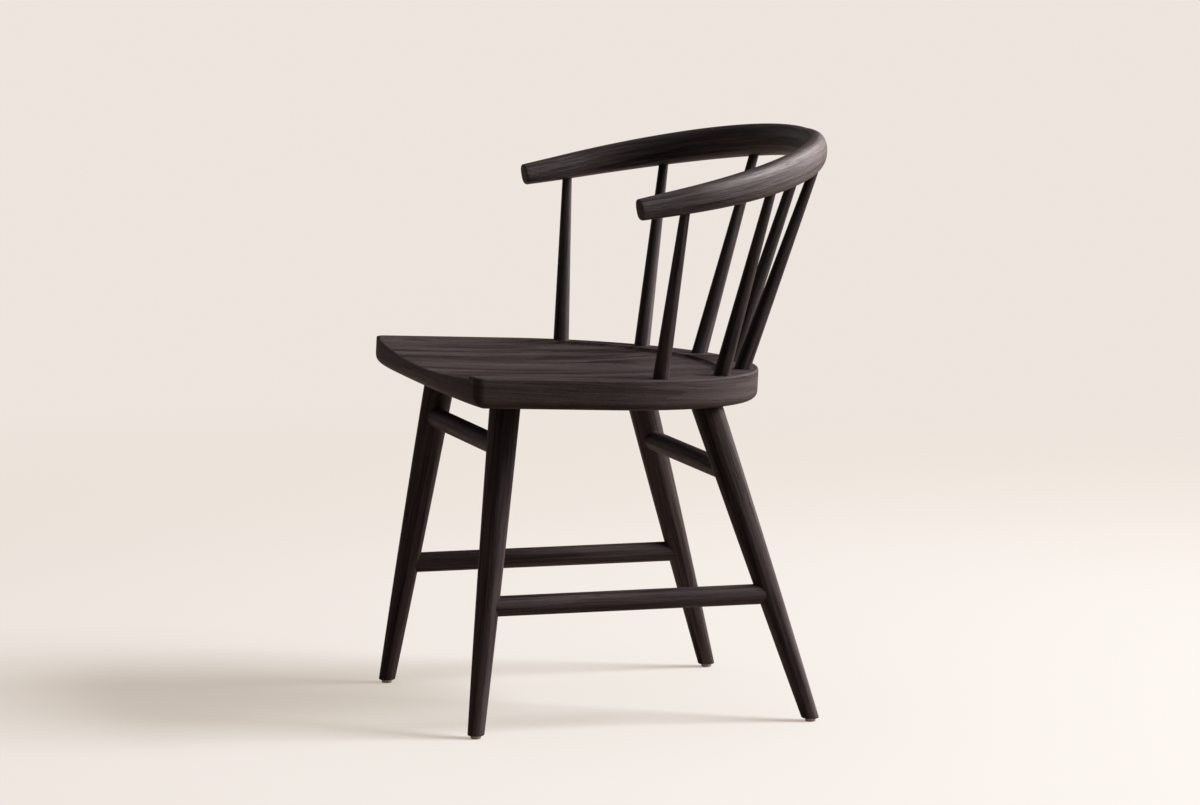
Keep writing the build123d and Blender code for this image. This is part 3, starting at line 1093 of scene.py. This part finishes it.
def makeFloor():
    mesh = bpy.data.meshes.new("floor")
    build = bmesh.new()
    bmesh.ops.create_circle(build, cap_ends=True, segments=stage["floorSides"], radius=stage["floorReach"])
    build.to_mesh(mesh)
    build.free()
    floor = bpy.data.objects.new("floor", mesh)
    scene.collection.objects.link(floor)
    material = bpy.data.materials.new("paleFloor")
    material.use_nodes = True
    tree = material.node_tree
    tree.nodes.clear()
    out = addNode(tree, "ShaderNodeOutputMaterial")
    matt = addNode(tree, "ShaderNodeBsdfDiffuse")
    glow = addNode(tree, "ShaderNodeEmission")
    seen = addNode(tree, "ShaderNodeLightPath").outputs["Is Camera Ray"]
    spot = addNode(tree, "ShaderNodeTexCoord").outputs["Object"]
    away = vectorCalc(tree, "LENGTH", spot)
    far = remap(tree, away, *stage["fade"])
    # the floor throws light back from near the chair, and little from the camera's side
    nearby = remap(tree, away, *stage["bounceReach"], 1.0, 0.0)
    facing = remap(tree, parted(tree, spot)[0], *stage["shadeStart"], 1.0, 0.0)
    thrown = mixColor(tree, calc(tree, "MULTIPLY", nearby, facing), stage["shade"], stage["bounce"])
    feed(tree, matt.inputs["Color"], mixColor(tree, seen, thrown, stage["floor"]))
    feed(tree, glow.inputs["Color"], mixColor(tree, far, stage["glow"], stage["backdrop"]))
    glowShare = calc(tree, "MULTIPLY_ADD", far, stage["litShare"], 1 - stage["litShare"])
    mix = addNode(tree, "ShaderNodeMixShader")
    feed(tree, mix.inputs[0], calc(tree, "MULTIPLY", glowShare, seen))
    feed(tree, mix.inputs[1], matt.outputs[0])
    feed(tree, mix.inputs[2], glow.outputs[0])
    feed(tree, out.inputs["Surface"], mix.outputs[0])
    mesh.materials.append(material)


room = {
    "color": (1.0, 0.88, 0.875, 1),
    "ambientWay": (-0.35, 0.60, 0.72),
    "ambientEdge": (-0.7, 0.9),
    "ambient": (0.06, 0.45),
    "dark": 0.02,
    "windowWay": (-0.10, 0.93, 0.33),
    "windowEdge": (0.68, 0.96),
    "window": 7.5,
    "wallWay": (-0.80, 0.55, 0.22),
    "wallEdge": (0.10, 0.95),
    "wall": 0.06,
    "farSideWay": (-0.90, -0.42, 0.06),
    "farSideEdge": (0.84, 0.99),
    "farSide": 0.38,
}


def makeWorld():
    # the camera sees a plain backdrop, and the wood reflects a room lit from its window side
    world = bpy.data.worlds.new("studio")
    scene.world = world
    world.use_nodes = True
    tree = world.node_tree
    tree.nodes.clear()
    out = addNode(tree, "ShaderNodeOutputWorld")
    backdrop = addNode(tree, "ShaderNodeBackground")
    backdrop.inputs["Color"].default_value = stage["backdrop"]
    around = addNode(tree, "ShaderNodeBackground")
    around.inputs["Color"].default_value = room["color"]
    way = addNode(tree, "ShaderNodeTexCoord").outputs["Generated"]
    lit = room["dark"]
    for name in ("window", "wall", "farSide"):
        facing = vectorCalc(tree, "DOT_PRODUCT", way, Vector(room[name + "Way"]).normalized())
        lit = calc(tree, "ADD", remap(tree, facing, *room[name + "Edge"], 0.0, room[name]), lit)
    rays = addNode(tree, "ShaderNodeLightPath").outputs
    facing = vectorCalc(tree, "DOT_PRODUCT", way, room["ambientWay"])
    soft = remap(tree, facing, *room["ambientEdge"], *room["ambient"])
    feed(tree, around.inputs["Strength"], mixed(tree, numberMix, rays["Is Glossy Ray"], soft, lit))
    mix = addNode(tree, "ShaderNodeMixShader")
    feed(tree, mix.inputs[0], rays["Is Camera Ray"])
    feed(tree, mix.inputs[1], around.outputs[0])
    feed(tree, mix.inputs[2], backdrop.outputs[0])
    feed(tree, out.inputs["Surface"], mix.outputs[0])


lamps = {
    "key": {
        "toward": (0.30, 0.72, 0.62),
        "distance": 8.0,
        "size": 3.7,
        "power": 960,
        "color": (1.0, 0.97, 0.94),
    },
}


def makeLamps():
    middle = (cadLow + cadHigh) / 2
    for name, lamp in lamps.items():
        data = bpy.data.lights.new(name, "AREA")
        data.shape = "SQUARE"
        data.size = lamp["size"]
        data.energy = lamp["power"]
        data.color = lamp["color"]
        item = bpy.data.objects.new(name, data)
        toward = Vector(lamp["toward"]).normalized()
        item.location = middle + toward * lamp["distance"]
        item.rotation_euler = (-toward).to_track_quat("-Z", "Y").to_euler()
        item.visible_camera = False
        scene.collection.objects.link(item)


makeFloor()
makeWorld()
makeLamps()
scene.view_settings.view_transform = "Standard"
print("stage lit")
